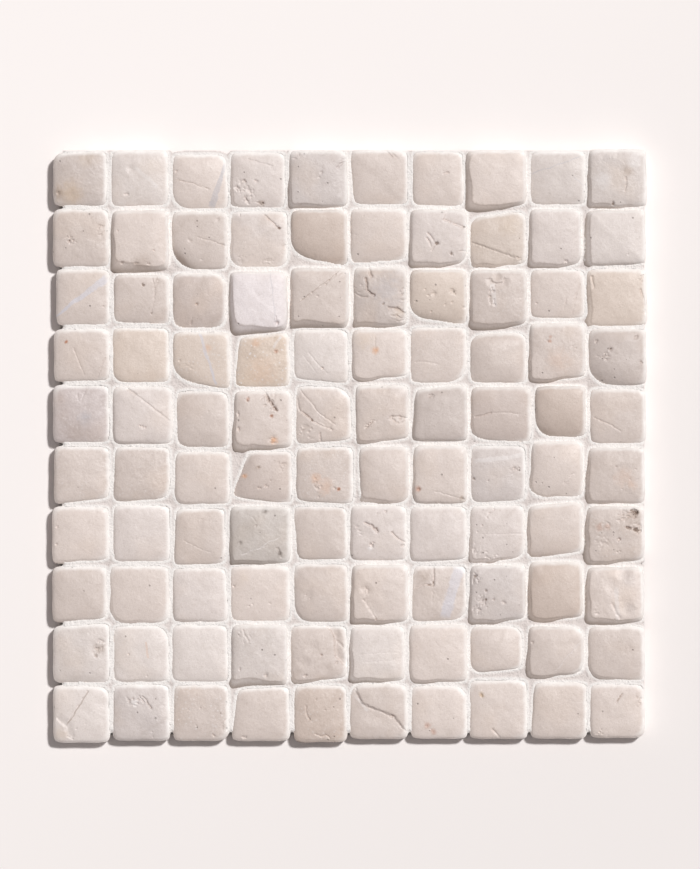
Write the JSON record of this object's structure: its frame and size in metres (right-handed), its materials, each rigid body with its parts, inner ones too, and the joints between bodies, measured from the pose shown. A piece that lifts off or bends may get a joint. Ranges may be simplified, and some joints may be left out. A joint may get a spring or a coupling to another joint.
{
  "type": "mosaic tile sheet",
  "caption": "Square sheet of tumbled stone mosaic: worn, uneven little stones seated in pale grout on a backing mesh.",
  "frame": {"origin": "middle of the sheet, on the underside of its backing mesh", "axes": "+Z out of the stones' faces, +X along a row of stones, +Y from the last row towards the first"},
  "size_m": [0.2998, 0.2992, 0.0137],
  "materials": {
    "tumbled_stone": "tumbled, matt, softly worn",
    "grout": "rough, sandy",
    "mesh_yarn": "resin-coated glass yarn"
  },
  "bodies": {
    "root": {"stones_row_01": "tumbled_stone", "stones_row_02": "tumbled_stone", "stones_row_03": "tumbled_stone", "stones_row_04": "tumbled_stone", "stones_row_05": "tumbled_stone", "stones_row_06": "tumbled_stone", "stones_row_07": "tumbled_stone", "stones_row_08": "tumbled_stone", "stones_row_09": "tumbled_stone", "stones_row_10": "tumbled_stone", "grout": "grout", "mesh_weft_yarns": "mesh_yarn", "mesh_warp_yarns": "mesh_yarn"}
  },
  "joints": []
}
